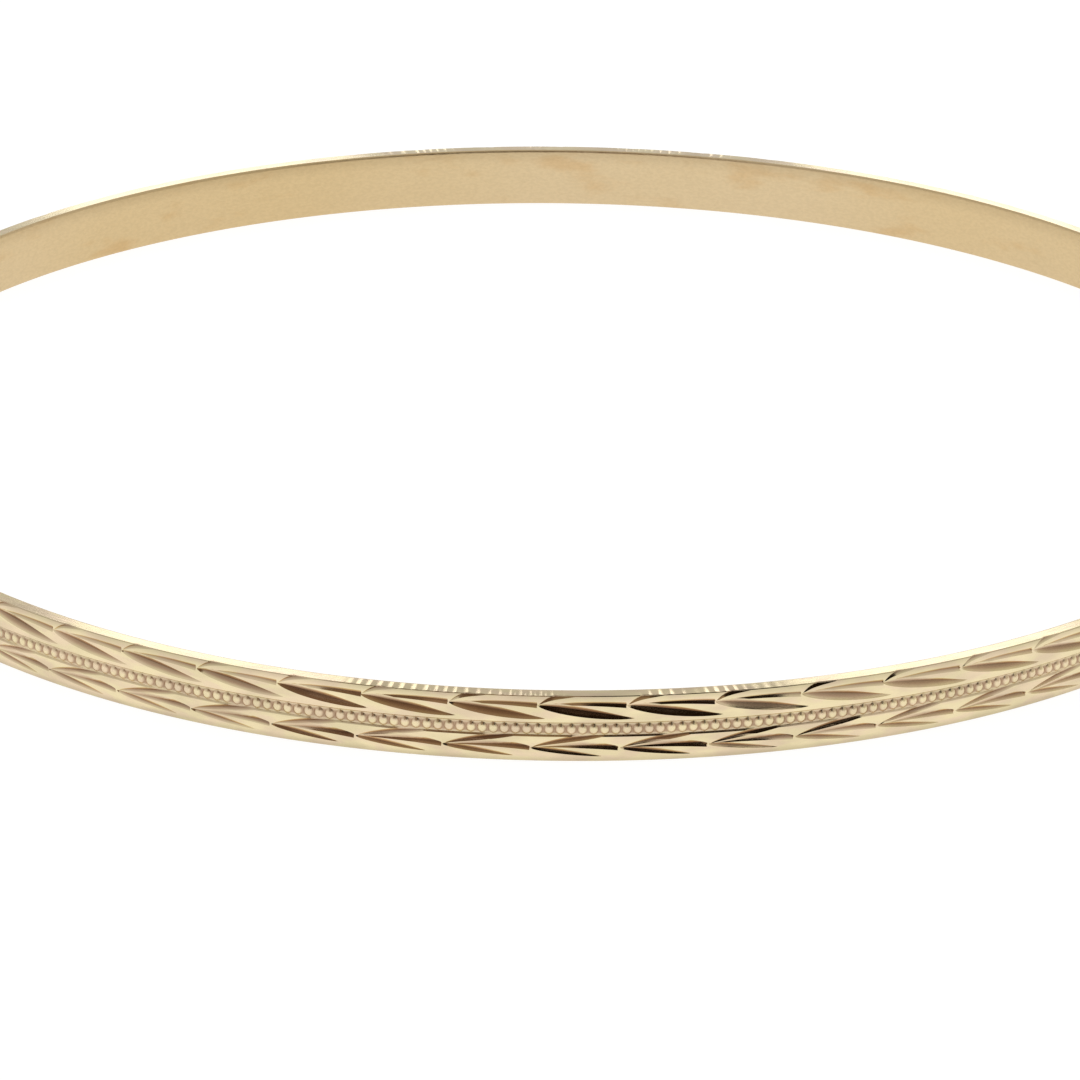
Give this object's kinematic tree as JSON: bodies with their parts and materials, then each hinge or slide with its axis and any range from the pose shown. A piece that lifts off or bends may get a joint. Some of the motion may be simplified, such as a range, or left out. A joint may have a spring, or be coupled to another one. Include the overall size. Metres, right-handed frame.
{
  "type": "bangle bracelet",
  "caption": "Slim closed slip-on bangle in yellow gold: a low domed engraved strip bent into a ring and closed by a soldered butt joint.",
  "frame": {"origin": "centre of the ring, on the plane of its lower side face", "axes": "+Z along the ring's axis; +X from the axis towards the soldered joint"},
  "size_m": [0.0652, 0.0652, 0.0027],
  "materials": {
    "yellow_gold": "gloss",
    "gold_solder": "satin"
  },
  "bodies": {
    "root": {"band": "yellow_gold", "solder_joint": "gold_solder"}
  },
  "joints": []
}
